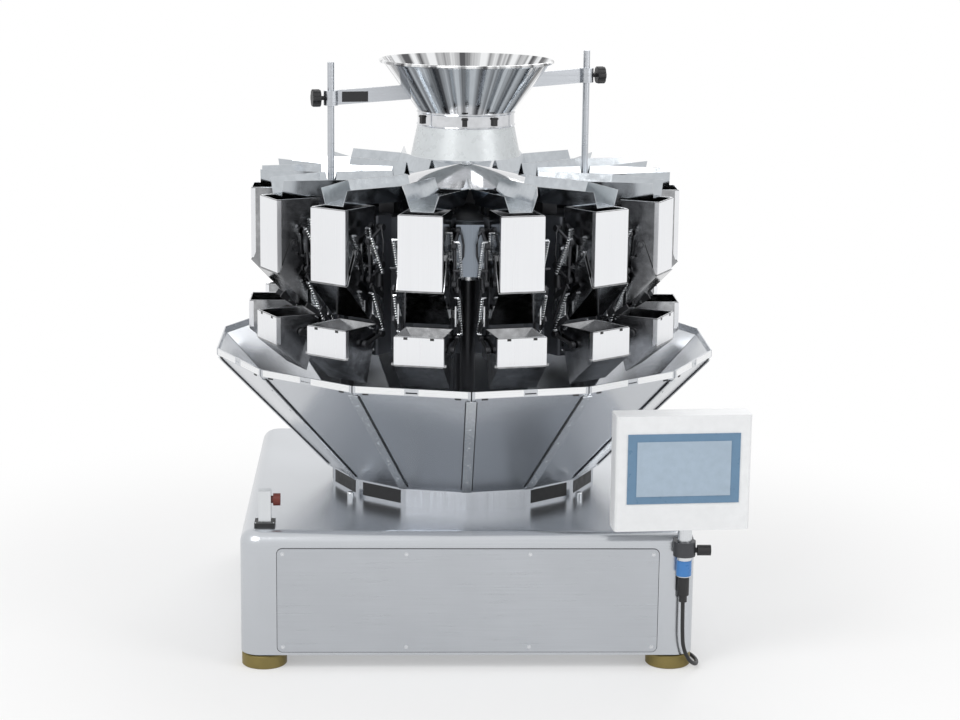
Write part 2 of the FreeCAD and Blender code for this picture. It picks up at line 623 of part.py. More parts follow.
def bracket_knob():
    """Clamp knob on the side of the bracket."""
    x = SCREEN_X + BRACKET_R
    knob = along_x(BRACKET_KNOB_R, x + 4, x + 4 + BRACKET_KNOB_L, SCREEN_Y, BRACKET_KNOB_Z)
    knob = knob.fuse(along_x(BRACKET_KNOB_R / 2, x - 6, x + 5, SCREEN_Y, BRACKET_KNOB_Z))
    return [knob.cut(cyl(BRACKET_R, BRACKET_Z0, BRACKET_Z1, SCREEN_X, SCREEN_Y))]


# ---------------------------------------------------------------- stop switch
def stop_switch():
    """Body of the stop switch on its dark foot."""
    b, w = SWITCH_BASE_W / 2, SWITCH_W / 2
    foot = box(-b, b, -b, b, BASE_TOP, BASE_TOP + SWITCH_BASE_H)
    body = box(-w, w, -w, w, BASE_TOP + SWITCH_BASE_H, BASE_TOP + SWITCH_H)
    return [moved(foot, SWITCH_X, SWITCH_Y)], [moved(body, SWITCH_X, SWITCH_Y)]


def stop_button():
    """Mushroom button on the right side of the stop switch."""
    x, z = SWITCH_X + SWITCH_W / 2, BASE_TOP + BUTTON_Z
    head = along_x(BUTTON_R, x + BUTTON_NECK_L, x + BUTTON_NECK_L + BUTTON_L, SWITCH_Y, z)
    return [along_x(BUTTON_R * 0.6, x, x + BUTTON_NECK_L, SWITCH_Y, z).fuse(head)]


# ---------------------------------------------------------------- cord
def cable_inlet():
    """Block with a gland nose under the base, where the screen's cable goes in."""
    h = INLET_BLOCK / 2
    x = INLET_X - CORD_GAP - INLET_LEN
    block = box(x - INLET_BLOCK, x, INLET_Y - h, INLET_Y + h, INLET_Z - INLET_R - 2, BASE_BOTTOM)
    return [block.fuse(along_x(INLET_R, x, x + INLET_LEN, INLET_Y, INLET_Z))]


def cord_path(points):
    """Straight runs joined by tangent arcs; prints each arc's radius."""
    pts = [V(*p) for p in points]
    edges, start, length = [], pts[0], 0.0
    for a, b, c in zip(pts, pts[1:], pts[2:]):
        u, w = (b - a).normalize(), (c - b).normalize()
        turn = u.getAngle(w)
        cutback = 0.45 * min((b - a).Length, (c - b).Length)
        radius = cutback / math.tan(turn / 2)
        p, q = b - u * cutback, b + w * cutback
        bisector = (w - u).normalize()
        middle = b + bisector * (radius / math.cos(turn / 2) - radius)
        edges += [Part.LineSegment(start, p).toShape(), Part.Arc(p, middle, q).toShape()]
        print("cord radius %.0f mm, turn %.0f degrees" % (radius, math.degrees(turn)))
        start = q
    edges.append(Part.LineSegment(start, pts[-1]).toShape())
    return Part.Wire(edges)


def screen_cable():
    """Cable from the screen's gland down to the floor and back under the base."""
    path = cord_path(CORD_POINTS)
    first = V(*CORD_POINTS[1]) - V(*CORD_POINTS[0])
    ring = Part.Wire(Part.makeCircle(CORD_R, V(*CORD_POINTS[0]), first))
    tube = path.makePipeShell([ring], True, False)
    ratio = tube.Volume / (math.pi * CORD_R ** 2 * path.Length)
    print("cord length %.0f mm, volume ratio %.4f" % (path.Length, ratio))
    return [tube]


def parts():
    """Every piece by name, about the machine's own axis."""
    switch_foot, switch_body = stop_switch()
    out = {
        "base_housing": base_housing(),
        "base_front_cover": [base_cover(0, COVER_W)],
        "base_rear_cover": [base_cover(180, COVER_W)],
        "base_side_covers": [base_cover(90, SIDE_COVER_W), base_cover(270, SIDE_COVER_W)],
        "foot_pads": foot_pads(), "foot_studs": foot_studs(),
        "discharge_funnel": discharge_funnel(), "chute_collar": chute_collar(),
        "chute_panels": chute_panels(), "chute_seam_strips": chute_seam_strips(),
        "chute_latch_knobs": chute_latch_knobs(),
        "support_columns": support_columns(), "column_flanges": column_flanges(),
        "column_heads": column_heads(),
        "main_body": main_body(), "drive_units": drive_units(), "hopper_hangers": hopper_hangers(),
        "feed_hoppers": all_heads(feed_hopper()),
        "weigh_hoppers": all_heads(weigh_hopper()), "weigh_gates": all_heads(weigh_gate()),
        "feeder_vibrators": feeder_vibrators(), "feeder_pans": feeder_pans(),
        "dispersion_cone": dispersion_cone(), "cone_vibrator": [cyl(CONE_VIB_R, DRUM_Z1, CONE_Z)],
        "funnel_posts": funnel_posts(),
        "infeed_funnel": infeed_funnel(), "infeed_collar": infeed_collar(), "infeed_skirt": infeed_skirt(),
        "funnel_arms": funnel_arms(), "clamp_knobs": clamp_knobs(),
        "screen_housing": screen_housing(),
        "screen_bezel": screen_plate(BEZEL_W, BEZEL_H, BEZEL_T, 0.0),
        "screen_glass": screen_plate(GLASS_W, GLASS_H, GLASS_T, BEZEL_T),
        "screen_pivot_tube": screen_pivot_tube(), "cable_gland": cable_gland(),
        "screen_bracket": screen_bracket(), "bracket_knob": bracket_knob(),
        "stop_switch_foot": switch_foot, "stop_switch_body": switch_body, "stop_button": stop_button(),
        "cable_inlet": cable_inlet(), "screen_cable": screen_cable(),
    }
    for i, gate in enumerate(all_heads(feed_gate())):
        out["feed_gate_%02d" % (i + 1)] = [gate]
    return out


def main():
    """Write one STEP file for each piece."""
    os.makedirs("parts", exist_ok=True)
    total = 0.0
    for name, solids in parts().items():
        for s in solids:
            if not s.isValid() or s.Volume <= 0:
                print("INVALID", name, s.Volume)
            total += s.Volume
        shape = solids[0] if len(solids) == 1 else Part.makeCompound(solids)
        shape = moved(shape, SHIFT.x, SHIFT.y)
        shape.exportStep("parts/%s.step" % name)
        print("%-20s solids %2d volume %.0f cm3" % (name, len(solids), sum(s.Volume for s in solids) / 1000))
    print("shift", SHIFT, "volume m3", total / 1e9)


main()
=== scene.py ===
import logging
import math
from dataclasses import dataclass, field
from enum import Enum

import bpy
from mathutils import Matrix, Vector


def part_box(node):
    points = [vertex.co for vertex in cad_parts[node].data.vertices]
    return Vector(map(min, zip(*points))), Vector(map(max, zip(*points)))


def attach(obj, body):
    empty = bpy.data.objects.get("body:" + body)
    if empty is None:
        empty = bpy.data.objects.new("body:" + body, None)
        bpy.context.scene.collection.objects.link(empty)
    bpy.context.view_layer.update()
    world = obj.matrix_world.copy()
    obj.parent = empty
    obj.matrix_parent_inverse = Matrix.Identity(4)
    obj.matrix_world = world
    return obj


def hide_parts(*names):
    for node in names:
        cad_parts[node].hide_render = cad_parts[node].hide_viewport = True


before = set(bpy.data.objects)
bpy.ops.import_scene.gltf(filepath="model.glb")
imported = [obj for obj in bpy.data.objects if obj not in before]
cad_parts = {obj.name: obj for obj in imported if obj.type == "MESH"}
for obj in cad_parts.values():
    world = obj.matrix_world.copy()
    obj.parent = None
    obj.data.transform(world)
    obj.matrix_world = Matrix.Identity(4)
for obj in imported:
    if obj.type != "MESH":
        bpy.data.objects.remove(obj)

log = logging.getLogger("weigher")
HEADS = 14
STEP = 2 * math.pi / HEADS
DRUM_LOW, DRUM_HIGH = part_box("main_body")
AXIS_X = (DRUM_LOW.x + DRUM_HIGH.x) / 2


class Grain(Enum):
    """Direction that a metal's grain runs in."""

    UPRIGHT = (220.0, 220.0, 3.0)
    LEVEL = (6.0, 6.0, 260.0)
    CAST = (60.0, 60.0, 60.0)
    FINE_UPRIGHT = (420.0, 420.0, 2.0)
    FINE_LEVEL = (2.0, 2.0, 420.0)


class Tone(Enum):
    """Base colours of the machine's materials."""

    STEEL = (0.50, 0.52, 0.55)
    # Lit copy of the hopper steel: painted light on the fronts and rims.
    HOPPER_PAINTED_LIGHT = (0.84, 0.85, 0.87)
    MIRROR = (0.62, 0.63, 0.65)
    CHUTE = (0.58, 0.60, 0.63)
    CHUTE_TRIM = (0.68, 0.70, 0.72)
    DRIVE = (0.16, 0.17, 0.19)
    DARK = (0.07, 0.072, 0.078)
    BLACK = (0.012, 0.012, 0.013)
    FOOT = (0.24, 0.19, 0.07)
    CASE = (0.80, 0.81, 0.82)
    BEZEL = (0.128, 0.232, 0.352)
    GLASS = (0.345, 0.434, 0.527)
    BUTTON = (0.13, 0.018, 0.010)
    BLUE = (0.05, 0.20, 0.50)
    VIOLET = (0.07, 0.05, 0.36)
    BASE = (0.55, 0.57, 0.60)
    # Brighter tone of the chute's lip: painted reflection.
    PAINTED_REFLECTION_LIP = (0.86, 0.87, 0.88)
    # Shaded copy of the hopper steel: painted shade on the walls and gates.
    PAINTED_SHADE_SIDE = (0.34, 0.345, 0.355)
    PAN = (0.50, 0.53, 0.56)
    HEAD = (0.24, 0.27, 0.31)
    # Dark and light streaks of painted reflection on the infeed funnel.
    PAINTED_REFLECTION_DARK = (0.10, 0.10, 0.105)
    PAINTED_REFLECTION_LIGHT = (0.86, 0.87, 0.88)
    SKIRT = (0.66, 0.69, 0.70)


@dataclass(frozen=True)
class Finish:
    """One surface finish made from noise, with constants on the shader's own sockets."""

    name: str
    tone: Tone
    grain: Grain = Grain.CAST
    metallic: float = 1.0
    roughness: float = 0.3
    rough_swing: float = 0.08
    tint_swing: float = 0.08
    bump: float = 0.02
    coat: float = 0.0

    def material(self) -> bpy.types.Material:
        """Build the node material.

        Returns:
            The new material.
        """
        mat = bpy.data.materials.new(self.name)
        mat.use_nodes = True
        tree = mat.node_tree
        shader = tree.nodes["Principled BSDF"]
        shader.inputs["Metallic"].default_value = self.metallic
        shader.inputs["Coat Weight"].default_value = self.coat
        place = tree.nodes.new("ShaderNodeTexCoord")
        stretch = tree.nodes.new("ShaderNodeMapping")
        stretch.inputs["Scale"].default_value = self.grain.value
        fine = self._noise(tree, 1.0, 4.0)
        broad = self._noise(tree, 5.0, 3.0)
        tree.links.new(place.outputs["Object"], stretch.inputs["Vector"])
        tree.links.new(stretch.outputs["Vector"], fine.inputs["Vector"])
        tree.links.new(place.outputs["Object"], broad.inputs["Vector"])
        self._colour(tree, shader, fine, broad)
        low, high = self.roughness - self.rough_swing, self.roughness + self.rough_swing
        rough = self._span(tree, fine, low, high)
        tree.links.new(rough.outputs["Result"], shader.inputs["Roughness"])
        relief = tree.nodes.new("ShaderNodeBump")
        relief.inputs["Strength"].default_value = self.bump
        relief.inputs["Distance"].default_value = 0.001
        tree.links.new(fine.outputs["Fac"], relief.inputs["Height"])
        tree.links.new(relief.outputs["Normal"], shader.inputs["Normal"])
        return mat

    def _noise(self, tree: bpy.types.NodeTree, scale: float, detail: float) -> bpy.types.Node:
        """Add a noise node.

        Args:
            tree: Node tree to add it to.
            scale: Noise scale.
            detail: Number of octaves.

        Returns:
            The noise node.
        """
        node = tree.nodes.new("ShaderNodeTexNoise")
        node.inputs["Scale"].default_value = scale
        node.inputs["Detail"].default_value = detail
        return node

    def _span(self, tree: bpy.types.NodeTree, source: bpy.types.Node, low: float,
              high: float) -> bpy.types.Node:
        """Map a noise to a range.

        Args:
            tree: Node tree.
            source: Noise node.
            low: Value at the noise's low end.
            high: Value at its high end.

        Returns:
            The map range node.
        """
        node = tree.nodes.new("ShaderNodeMapRange")
        node.inputs["From Min"].default_value = 0.3
        node.inputs["From Max"].default_value = 0.7
        node.inputs["To Min"].default_value = max(low, 0.02)
        node.inputs["To Max"].default_value = min(high, 1.0)
        tree.links.new(source.outputs["Fac"], node.inputs["Value"])
        return node

    def _colour(self, tree: bpy.types.NodeTree, shader: bpy.types.Node, fine: bpy.types.Node,
                broad: bpy.types.Node) -> None:
        """Drive the base colour with both noises.

        Args:
            tree: Node tree.
            shader: Principled shader.
            fine: Grain noise.
            broad: Cloudy noise.
        """
        both = tree.nodes.new("ShaderNodeMath")
        both.operation = "MULTIPLY"
        tree.links.new(fine.outputs["Fac"], both.inputs[0])
        tree.links.new(broad.outputs["Fac"], both.inputs[1])
        ramp = tree.nodes.new("ShaderNodeValToRGB")
        for stop, at, gain in ((0, 0.12, 1 - self.tint_swing), (1, 0.40, 1 + self.tint_swing)):
            ramp.color_ramp.elements[stop].position = at
            ramp.color_ramp.elements[stop].color = [min(1.0, c * gain) for c in self.tone.value] + [1.0]
        tree.links.new(both.outputs["Value"], ramp.inputs["Fac"])
        tree.links.new(ramp.outputs["Color"], shader.inputs["Base Color"])


BRUSHED = Finish("brushed_stainless", Tone.STEEL, Grain.LEVEL, roughness=0.34, tint_swing=0.04)
HOUSING = Finish("base_stainless", Tone.BASE, Grain.FINE_LEVEL, roughness=0.24, rough_swing=0.03,
                 tint_swing=0.03)
# The bright hopper sheet and the shaded hopper sheet are one steel: painted light on the fronts, painted shade on the
# walls.
PAINTED_LIGHT_HOPPER = Finish("hopper_sheet_painted_light", Tone.HOPPER_PAINTED_LIGHT, Grain.FINE_UPRIGHT, roughness=0.30, rough_swing=0.03,
                tint_swing=0.02, bump=0.008)
PAINTED_SHADE_SIDE = Finish("shaded_hopper_sheet", Tone.PAINTED_SHADE_SIDE, Grain.CAST, roughness=0.14, rough_swing=0.05, tint_swing=0.30)
PAN = Finish("pan_steel", Tone.PAN, Grain.CAST, roughness=0.16, rough_swing=0.05)
HEAD = Finish("column_head_sheet", Tone.HEAD, Grain.FINE_UPRIGHT, roughness=0.30, rough_swing=0.04)
MIRROR = Finish("polished_steel", Tone.MIRROR, Grain.CAST, roughness=0.09, rough_swing=0.03, bump=0.005)
CHUTE = Finish("chute_sheet", Tone.CHUTE, Grain.FINE_UPRIGHT, roughness=0.22, rough_swing=0.03, tint_swing=0.03,
               bump=0.006)
# The lip's bright colour is painted reflection on the same steel as the chute.
PAINTED_REFLECTION_LIP = Finish("lip_painted_reflection", Tone.PAINTED_REFLECTION_LIP, Grain.FINE_LEVEL, roughness=0.30, tint_swing=0.02, bump=0.005)
TRIM = Finish("bright_strip", Tone.CHUTE_TRIM, Grain.FINE_UPRIGHT, roughness=0.25, rough_swing=0.03,
              tint_swing=0.03, bump=0.006)
DRIVE = Finish("drive_case", Tone.DRIVE, Grain.CAST, metallic=0.7, roughness=0.45)
DARK = Finish("dark_steel", Tone.DARK, Grain.CAST, metallic=0.8, roughness=0.42)
BLACK = Finish("black_plastic", Tone.BLACK, Grain.CAST, metallic=0.0, roughness=0.5)
FOOT = Finish("dull_brass", Tone.FOOT, Grain.CAST, metallic=0.8, roughness=0.5)
CASE = Finish("pale_case", Tone.CASE, Grain.CAST, metallic=0.0, roughness=0.4, tint_swing=0.03)
BEZEL = Finish("bezel_film", Tone.BEZEL, Grain.CAST, metallic=0.0, roughness=0.35, tint_swing=0.04)
GLASS = Finish("display_glass", Tone.GLASS, Grain.CAST, metallic=0.0, roughness=0.12, tint_swing=0.05, coat=0.6)
BUTTON = Finish("button_cap", Tone.BUTTON, Grain.CAST, metallic=0.0, roughness=0.35)
BLUE = Finish("blue_sleeve", Tone.BLUE, Grain.CAST, metallic=0.0, roughness=0.3)
VIOLET = Finish("violet_cap", Tone.VIOLET, Grain.CAST, metallic=0.0, roughness=0.3)
SKIRT = Finish("skirt_sheet", Tone.SKIRT, Grain.CAST, metallic=0.1, roughness=0.3, tint_swing=0.04)


@dataclass(frozen=True)
class PaintedReflectionStreaks:
    """Polished cone with painted reflection: its colour runs in dark and light streaks away from its axis."""

    name: str
    dark: Tone
    light: Tone
    axis: tuple[float, float, float]
    count: float = 30.0
    roughness: float = 0.10

    def material(self) -> bpy.types.Material:
        """Build the node material.

        Returns:
            The new material.
        """
        mat = bpy.data.materials.new(self.name)
        mat.use_nodes = True
        tree = mat.node_tree
        shader = tree.nodes["Principled BSDF"]
        shader.inputs["Metallic"].default_value = 1.0
        shader.inputs["Roughness"].default_value = self.roughness
        place = tree.nodes.new("ShaderNodeTexCoord")
        shift = tree.nodes.new("ShaderNodeMapping")
        shift.inputs["Location"].default_value = [-c for c in self.axis]
        turn = tree.nodes.new("ShaderNodeTexGradient")
        turn.gradient_type = "RADIAL"
        spread = tree.nodes.new("ShaderNodeMath")
        spread.operation = "MULTIPLY"
        spread.inputs[1].default_value = self.count
        noise = tree.nodes.new("ShaderNodeTexNoise")
        noise.noise_dimensions = "1D"
        noise.inputs["Scale"].default_value = 1.0
        noise.inputs["Detail"].default_value = 3.0
        ramp = tree.nodes.new("ShaderNodeValToRGB")
        # Ramp between the dark and light streaks of painted reflection.
        for stop, at, tone in ((0, 0.38, self.dark), (1, 0.60, self.light)):
            ramp.color_ramp.elements[stop].position = at
            ramp.color_ramp.elements[stop].color = (*tone.value, 1.0)
        tree.links.new(place.outputs["Object"], shift.inputs["Vector"])
        tree.links.new(shift.outputs["Vector"], turn.inputs["Vector"])
        tree.links.new(turn.outputs["Fac"], spread.inputs[0])
        tree.links.new(spread.outputs["Value"], noise.inputs["W"])
        tree.links.new(noise.outputs["Fac"], ramp.inputs["Fac"])
        tree.links.new(ramp.outputs["Color"], shader.inputs["Base Color"])
        return mat


class Palette:
    """Keeps one material for each finish."""

    def __init__(self) -> None:
        """Start with no materials."""
        self._made: dict[str, bpy.types.Material] = {}

    def get(self, finish: Finish | PaintedReflectionStreaks) -> bpy.types.Material:
        """Give the finish's material, made on first use.

        Args:
            finish: The finish.

        Returns:
            Its material.
        """
        if finish.name not in self._made:
            self._made[finish.name] = finish.material()
        return self._made[finish.name]

    def dress(self, finish: Finish | PaintedReflectionStreaks, *nodes: str) -> None:
        """Put a finish on CAD nodes.

        Args:
            finish: The finish.
            nodes: Names of the nodes.
        """
        for name in nodes:
            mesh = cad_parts[name].data
            for i in range(max(1, len(mesh.materials))):
                if i < len(mesh.materials):
                    mesh.materials[i] = self.get(finish)
                else:
                    mesh.materials.append(self.get(finish))


class Shaper:
    """Gathers many small forms into one mesh."""

    def __init__(self) -> None:
        """Start with an empty mesh."""
        self.points: list[Vector] = []
        self.faces: list[tuple[int, ...]] = []

    def ring(self, centre: Vector, axis: Vector, radius: float, sides: int) -> list[int]:
        """Add a ring of points.

        Args:
            centre: Middle of the ring.
            axis: Direction through it.
            radius: Its radius.
            sides: Number of points.

        Returns:
            Indices of the points.
        """
        axis = axis.normalized()
        across = axis.cross(Vector((0, 0, 1)) if abs(axis.z) < 0.9 else Vector((1, 0, 0))).normalized()
        up = axis.cross(across)
        first = len(self.points)
        for k in range(sides):
            a = 2 * math.pi * k / sides
            self.points.append(centre + radius * (math.cos(a) * across + math.sin(a) * up))
        return list(range(first, first + sides))

    def skin(self, rings: list[list[int]], closed: bool = False, caps: bool = True) -> None:
        """Join rings with faces.

        Args:
            rings: Point indices of each ring.
            closed: Joins the last ring to the first.
            caps: Closes both ends.
        """
        pairs = list(zip(rings, rings[1:] + ([rings[0]] if closed else [])))
        for low, high in pairs:
            for k in range(len(low)):
                j = (k + 1) % len(low)
                self.faces.append((low[k], low[j], high[j], high[k]))
        if caps and not closed:
            self.faces.append(tuple(reversed(rings[0])))
            self.faces.append(tuple(rings[-1]))

    def rod(self, a: Vector, b: Vector, radius: float, sides: int = 12, bevel: float = 0.0) -> None:
        """Add a round rod with an optional rounded end.

        Args:
            a: Start.
            b: End.
            radius: Radius.
            sides: Number of sides.
            bevel: Size of the edge at each end.
        """
        axis = b - a
        step = axis.normalized() * bevel
        stops = [(a, radius - bevel), (a + step, radius), (b - step, radius), (b, radius - bevel)] if bevel else \
            [(a, radius), (b, radius)]
        self.skin([self.ring(p, axis, r, sides) for p, r in stops])

    def tube(self, path: list[Vector], radius: float, sides: int = 8, closed: bool = False) -> None:
        """Add a thin tube along a path.

        Args:
            path: Points along it.
            radius: Its radius.
            sides: Number of sides.
            closed: Joins its ends.
        """
        rings = []
        for i, p in enumerate(path):
            before = path[i - 1] if (i or closed) else p
            after = path[(i + 1) % len(path)] if (i + 1 < len(path) or closed) else p
            rings.append(self.ring(p, after - before, radius, sides))
        self.skin(rings, closed=closed)

    def block(self, place: Matrix, size: tuple[float, float, float]) -> None:
        """Add a block centred on a place.

        Args:
            place: Matrix of its middle.
            size: Its three sides.
        """
        first = len(self.points)
        x, y, z = (s / 2 for s in size)
        for sx, sy, sz in ((-1, -1, -1), (1, -1, -1), (1, 1, -1), (-1, 1, -1), (-1, -1, 1), (1, -1, 1), (1, 1, 1),
                           (-1, 1, 1)):
            self.points.append(place @ Vector((sx * x, sy * y, sz * z)))
        for f in ((3, 2, 1, 0), (4, 5, 6, 7), (0, 1, 5, 4), (1, 2, 6, 5), (2, 3, 7, 6), (3, 0, 4, 7)):
            self.faces.append(tuple(first + i for i in f))

    def coil(self, a: Vector, b: Vector, radius: float, wire: float, turns: int) -> None:
        """Add a coil spring.

        Args:
            a: Start.
            b: End.
            radius: Coil radius.
            wire: Wire radius.
            turns: Number of turns.
        """
        axis = (b - a).normalized()
        across = axis.cross(Vector((0.3, 0.2, 1.0))).normalized()
        up = axis.cross(across)
        count = turns * 10
        path = []
        for k in range(count + 1):
            t = 2 * math.pi * turns * k / count
            path.append(a.lerp(b, k / count) + radius * (math.cos(t) * across + math.sin(t) * up))
        self.tube(path, wire, 6)

    def screw(self, at: Vector, out: Vector, radius: float, height: float) -> None:
        """Add a hexagon screw on a washer.

        Args:
            at: Point on the surface.
            out: Direction out of it.
            radius: Head radius.
            height: Head height.
        """
        out = out.normalized()
        self.rod(at, at + out * height * 0.25, radius * 1.45, 16)
        self.rod(at + out * height * 0.25, at + out * height, radius, 6, bevel=height * 0.12)

    def build(self, name: str, finish: Finish, palette: Palette, body: str,
              smooth: bool = True) -> bpy.types.Object:
        """Make the object and let it ride on a body.

        Args:
            name: Name of the piece.
            finish: Its finish.
            palette: Material store.
            body: Body that it moves with.
            smooth: Shades it smooth by angle.

        Returns:
            The new object.
        """
        mesh = bpy.data.meshes.new(name)
        mesh.from_pydata([tuple(p) for p in self.points], [], self.faces)
        mesh.update()
        obj = bpy.data.objects.new(name, mesh)
        bpy.context.scene.collection.objects.link(obj)
        mesh.materials.append(palette.get(finish))
        if smooth:
            mesh.shade_smooth()
            mesh.set_sharp_from_angle(angle=math.radians(40))
        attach(obj, body)
        log.info("piece %s: %d faces, on %s", name, len(self.faces), body)
        return obj


def head_place(index: int) -> Matrix:
    """Frame of a head: X across it, -Y outward, origin on the machine's axis at floor level.

    Args:
        index: Head number from 0.

    Returns:
        The matrix.
    """
    return Matrix.Translation((AXIS_X, 0, 0)) @ Matrix.Rotation((index + 0.5) * STEP, 4, "Z")


def seam_place(index: int) -> Matrix:
    """Frame of a chute seam, in the same way as a head's.

    Args:
        index: Seam number from 0 at the front.

    Returns:
        The matrix.
    """
    return Matrix.Translation((AXIS_X, 0, 0)) @ Matrix.Rotation(index * STEP, 4, "Z")


@dataclass
class Base:
    """Square base with screwed covers and round levelling feet."""

    half: float = 0.512
    cover_half: float = 0.428
    side_half: float = 0.380
    cover_low: float = 0.043
    cover_high: float = 0.284
    inset: float = 0.012
    screw: float = 0.0030

    def dress(self, palette: Palette) -> None:
        """Put finishes on the base's nodes."""
        palette.dress(HOUSING, "base_housing")
        palette.dress(BRUSHED, "base_front_cover", "base_rear_cover", "base_side_covers")
        palette.dress(FOOT, "foot_pads")
        palette.dress(TRIM, "foot_studs")

    def build(self, palette: Palette) -> None:
        """Add the cover screws and the seal line round each cover.

        Args:
            palette: Material store.
        """
        screws, seals = Shaper(), Shaper()
        for quarter in range(4):
            turn = Matrix.Translation((AXIS_X, 0, 0)) @ Matrix.Rotation(quarter * math.pi / 2, 4, "Z")
            half = self.cover_half if quarter % 2 == 0 else self.side_half
            wide = half - self.inset
            for x in (-wide, -wide / 3, wide / 3, wide):
                for z in (self.cover_low + self.inset, self.cover_high - self.inset):
                    at = turn @ Vector((x, -self.half - 0.002, z))
                    screws.screw(at, turn.to_3x3() @ Vector((0, -1, 0)), self.screw, 0.0022)
            seals.tube([turn @ p for p in self.outline(half + 0.0006)], 0.0009, 6, closed=True)
        screws.build("cover_screws", TRIM, palette, "frame")
        seals.build("cover_seals", DARK, palette, "frame")

    def outline(self, half: float) -> list[Vector]:
        """Rounded outline of a cover, just off the base's face.

        Args:
            half: Half its width.

        Returns:
            The points in order.
        """
        radius, low, high = 0.012, self.cover_low - 0.0006, self.cover_high + 0.0006
        points = []
        for quarter, (x, z) in enumerate(((half - radius, high - radius), (radius - half, high - radius),
                                          (radius - half, low + radius), (half - radius, low + radius))):
            for k in range(6):
                a = (quarter + k / 5) * math.pi / 2
                points.append(Vector((x + radius * math.cos(a), -self.half - 0.0007, z + radius * math.sin(a))))
        return points


@dataclass
class Chute:
    """Faceted collecting chute with covered seams."""

    rim: float = 0.600
    rim_z: float = 0.647
    lip: float = 0.016
    low: float = 0.330
    low_z: float = 0.365
    collar: float = 0.322
    collar_foot: float = 0.320
    window: tuple[float, float] = (0.112, 0.031)
    closed: tuple[int, ...] = (0, 6, 7, 13)

    def dress(self, palette: Palette) -> None:
        """Put finishes on the chute's nodes."""
        palette.dress(CHUTE, "chute_panels", "discharge_funnel", "chute_collar")
        palette.dress(TRIM, "chute_seam_strips", "chute_latch_knobs")

    def along(self, t: float, out: float) -> Vector:
        """Point on a seam's line.

        Args:
            t: 0 at the foot and 1 at the rim.
            out: Distance off the sheet.

        Returns:
            The point in the seam's frame.
        """
        slope = Vector((0, -(self.rim - self.low), self.rim_z - self.low_z)).normalized()
        normal = Vector((0, -slope.z, slope.y))
        foot = Vector((0, -self.low, self.low_z))
        return foot + slope * (t * math.hypot(self.rim - self.low, self.rim_z - self.low_z)) + normal * out

    def build(self, palette: Palette) -> None:
        """Add strip rivets, the dark joint lines beside the strips and the lip's bright bands of painted reflection.

        Args:
            palette: Material store.
        """
        rivets, lines = Shaper(), Shaper()
        for k in range(HEADS):
            turn = seam_place(k)
            for t in (0.12, 0.31, 0.50, 0.69, 0.88):
                at = self.along(t, 0.0028)
                out = (self.along(t, 1.0) - self.along(t, 0.0))
                rivets.rod(turn @ at, turn @ (at + out * 0.0012), 0.0030, 10, 0.0005)
            for side in (-1, 1):
                shift = Vector((side * 0.0122, 0, 0))
                a, b = self.along(0.03, -0.0006) + shift, self.along(0.96, -0.0006) + shift
                lines.rod(turn @ a, turn @ b, 0.0014, 6)
        rivets.build("strip_rivets", TRIM, palette, "frame")
        lines.build("strip_joint_lines", DARK, palette, "frame")
        self.bands(palette)
        self.windows(palette)

    def windows(self, palette: Palette) -> None:
        """Add black plates in the collar's access windows between the chute and the base: painted shade in place of
        the dark openings.

        Args:
            palette: Material store.
        """
        panes = Shaper()
        apothem = self.collar * math.cos(STEP / 2)
        wide, high = self.window
        for i in range(HEADS):
            if i not in self.closed:
                at = Matrix.Translation((0, -apothem - 0.0004, (self.collar_foot + self.low_z) / 2))
                # Black plate: painted shade standing in for an opening.
                panes.block(head_place(i) @ at, (wide, 0.0016, high))
        panes.build("collar_window_painted_shade", BLACK, palette, "frame", smooth=False)

    def bands(self, palette: Palette) -> None:
        """Add the bright bands of painted reflection on the lip, two on each panel, and the small slots under them.

        Args:
            palette: Material store.
        """
        bands, slots = Shaper(), Shaper()
        apothem = self.rim * math.cos(STEP / 2)
        half = self.rim * math.sin(STEP / 2)
        length = half - 0.016 - 0.008
        for i in range(HEADS):
            turn = head_place(i)
            for side in (-1, 1):
                x = side * (0.016 + length / 2)
                middle = Matrix.Translation((x, -apothem - 0.0002, self.rim_z + self.lip / 2 + 0.0005))
                bands.block(turn @ middle, (length, 0.0012, self.lip - 0.002))
                under = Matrix.Translation((side * (half - 0.030), -apothem - 0.0001, self.rim_z - 0.0015))
                slots.block(turn @ under, (0.014, 0.0012, 0.0035))
        bands.build("lip_painted_reflection_bands", PAINTED_REFLECTION_LIP, palette, "frame")
        slots.build("lip_slots", BLACK, palette, "frame", smooth=False)


